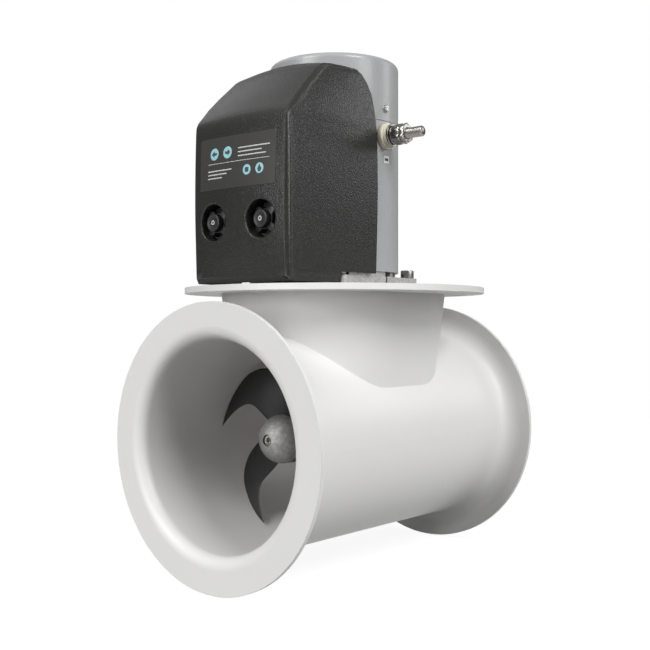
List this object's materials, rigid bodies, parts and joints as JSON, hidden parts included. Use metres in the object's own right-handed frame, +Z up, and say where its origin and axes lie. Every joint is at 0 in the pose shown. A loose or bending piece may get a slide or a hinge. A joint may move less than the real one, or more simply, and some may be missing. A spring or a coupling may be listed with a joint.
{
  "type": "bow thruster",
  "caption": "Electric tunnel thruster: moulded tunnel with flared mouths and top mounting plate, bronze gear leg with skewed propeller, upright motor and covered control gear.",
  "frame": {"origin": "centre of the underside of the round mounting plate, on the motor axis", "axes": "+Z up along the motor shaft; the tunnel runs along Y, its propeller end and the control cover face -Y; +X is the side of the negative terminal"},
  "size_m": [0.289, 0.331, 0.4798],
  "materials": {
    "gelcoat": "semi-gloss moulded gelcoat",
    "cast_aluminium": "raw sand-cast",
    "stainless": "machined",
    "bright_zinc": "zinc plated",
    "motor_paint": "satin grey paint",
    "cream_nylon": "natural nylon",
    "core_steel": "laminated, varnished",
    "enamelled_copper": "varnished winding",
    "machined_steel": "ground",
    "copper": "bare copper",
    "brass_plate": "stamped brass",
    "carbon": "carbon graphite",
    "bearing_steel": "polished",
    "coupling_rubber": "moulded polyurethane",
    "bronze": "cast bronze",
    "seal_rubber": "nitrile",
    "gear_steel": "hardened",
    "black_composite": "fibre-reinforced",
    "anode_zinc": "cast zinc",
    "cover_plastic": "fine leather grain",
    "knob_plastic": "satin",
    "posts_plastic": "glass-filled nylon",
    "contactor_plastic": "phenolic",
    "unit_plastic": "potted case"
  },
  "bodies": {
    "housing": {"bearing_balls": "bearing_steel", "bearing_outer_rings": "bearing_steel", "bracket_screws": "stainless", "brush_holder": "brass_plate", "brush_springs": "machined_steel", "brushes": "carbon", "bus_bars": "copper", "contactor_cases": "contactor_plastic", "contactor_nuts": "bright_zinc", "contactor_plate": "bright_zinc", "contactor_studs": "copper", "control_cover": "cover_plastic", "control_fuse": "unit_plastic", "control_socket": "posts_plastic", "control_unit": "unit_plastic", "cover_posts": "posts_plastic", "drive_end_shield": "cast_aluminium", "drive_shaft_seal": "seal_rubber", "end_cap_screws": "bright_zinc", "field_coils": "enamelled_copper", "field_poles": "core_steel", "gear_leg": "bronze", "leg_bolts": "stainless", "leg_gasket": "seal_rubber", "leg_tail_cap": "bronze", "motor_bracket": "cast_aluminium", "motor_casing": "motor_paint", "motor_end_cap": "motor_paint", "motor_flange_screws": "stainless", "needle_bush": "bearing_steel", "propeller_shaft_seal": "seal_rubber", "terminal_bushes": "cream_nylon", "terminal_nuts": "stainless", "terminal_spring_washers": "bright_zinc", "terminal_studs": "stainless", "terminal_washers": "bright_zinc", "tunnel_housing": "gelcoat"},
    "drive_line": {"motor_shaft": "machined_steel", "armature_core": "core_steel", "armature_windings": "enamelled_copper", "commutator": "copper", "drive_line_inner_rings": "bearing_steel", "coupling_upper_half": "machined_steel", "coupling_spider": "coupling_rubber", "coupling_lower_half": "machined_steel", "drive_shaft": "machined_steel", "bevel_pinion": "gear_steel"},
    "propeller_group": {"propeller": "black_composite", "propeller_shaft": "machined_steel", "bevel_wheel": "gear_steel", "propeller_inner_rings": "bearing_steel", "propeller_pin": "machined_steel", "propeller_washer": "stainless", "propeller_nut": "stainless", "anode": "anode_zinc", "anode_screw": "stainless"},
    "left_knob_body": {"left_knob": "knob_plastic", "left_knob_stud": "stainless"},
    "right_knob_body": {"right_knob": "knob_plastic", "right_knob_stud": "stainless"}
  },
  "joints": [
    {"name": "motor_spin", "type": "hinge", "parent": "housing", "child": "drive_line", "pos_m": [0, 0, 0], "axis": [0, 0, 1], "continuous": true},
    {"name": "propeller_spin", "type": "hinge", "parent": "housing", "child": "propeller_group", "pos_m": [0, 0, -0.1344], "axis": [0, 1, 0], "continuous": true},
    {"name": "left_knob_turn", "type": "hinge", "parent": "housing", "child": "left_knob_body", "pos_m": [-0.029, -0.131, 0.0615], "axis": [0, -1, 0], "range_deg": [-90, 0]},
    {"name": "right_knob_turn", "type": "hinge", "parent": "housing", "child": "right_knob_body", "pos_m": [0.029, -0.131, 0.0615], "axis": [0, -1, 0], "range_deg": [-90, 0]}
  ],
  "couplings": [
    {"joint": "propeller_spin", "follows": "motor_spin", "ratio": -0.66667}
  ]
}
